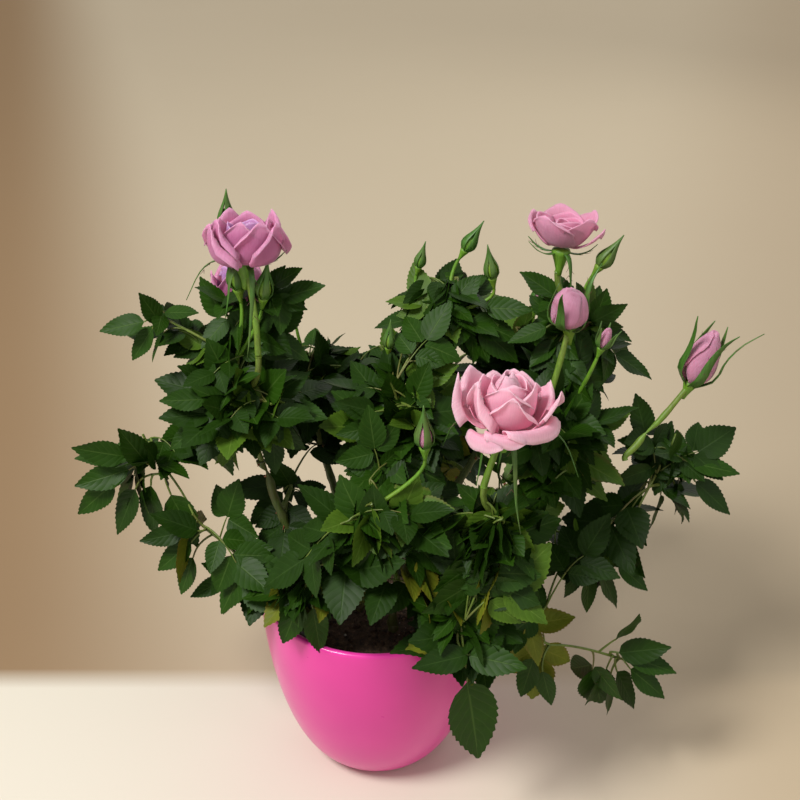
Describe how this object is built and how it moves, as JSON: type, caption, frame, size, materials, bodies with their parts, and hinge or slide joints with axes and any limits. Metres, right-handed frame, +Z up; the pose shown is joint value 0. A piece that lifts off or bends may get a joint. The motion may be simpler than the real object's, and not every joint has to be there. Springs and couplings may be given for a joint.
{
  "type": "rose bush in a pot",
  "caption": "Small rose bush with pink blooms and buds, toothed dark green leaves and thin canes, growing in compost in a rounded glazed pink pot.",
  "frame": {"origin": "centre of the pot's flat underside, on the pot's turning axis", "axes": "+Z up along the pot's axis, -Y towards the plant's front, +X to the right as seen from the front"},
  "size_m": [0.3431, 0.2163, 0.3364],
  "materials": {
    "glaze": "gloss pink glaze",
    "liner": "thin black nursery pot",
    "compost": "dark moist compost",
    "cane": "green bark with prickles",
    "stalk": "smooth green stalk",
    "foliage": "satin leaves",
    "petal": "soft petals",
    "sepal": "green sepals over a pink bud"
  },
  "bodies": {
    "root": {"bloom_front": "petal", "bloom_left_rear": "petal", "bloom_upper_left": "petal", "bloom_upper_right": "petal", "bough_right_side": "stalk", "bud_centre_right": "petal", "bud_far_right": "sepal", "cane_centre": "cane", "cane_left": "cane", "cane_rear_left": "cane", "cane_rear_right": "cane", "cane_right": "cane", "centre_crown": "foliage", "centre_front": "foliage", "compost": "compost", "cover_pot": "glaze", "front_left_low": "foliage", "front_low": "foliage", "front_right": "foliage", "hanging_leaf": "foliage", "left_cane_spray": "foliage", "left_crown": "foliage", "left_low_spray": "foliage", "left_rim_spray": "foliage", "left_side": "foliage", "left_top": "foliage", "left_wing": "foliage", "nursery_pot": "liner", "rear_centre": "foliage", "rear_left": "foliage", "rear_low": "foliage", "rear_right": "foliage", "right_crown": "foliage", "right_front_low": "foliage", "right_hanging": "foliage", "right_low": "foliage", "right_rear_crown": "foliage", "right_side": "foliage", "right_top": "foliage", "stalk_centre_right": "stalk", "stalk_front": "stalk", "stalk_left_rear": "stalk", "stalk_upper_left": "stalk", "stalk_upper_right": "stalk"}
  },
  "joints": []
}
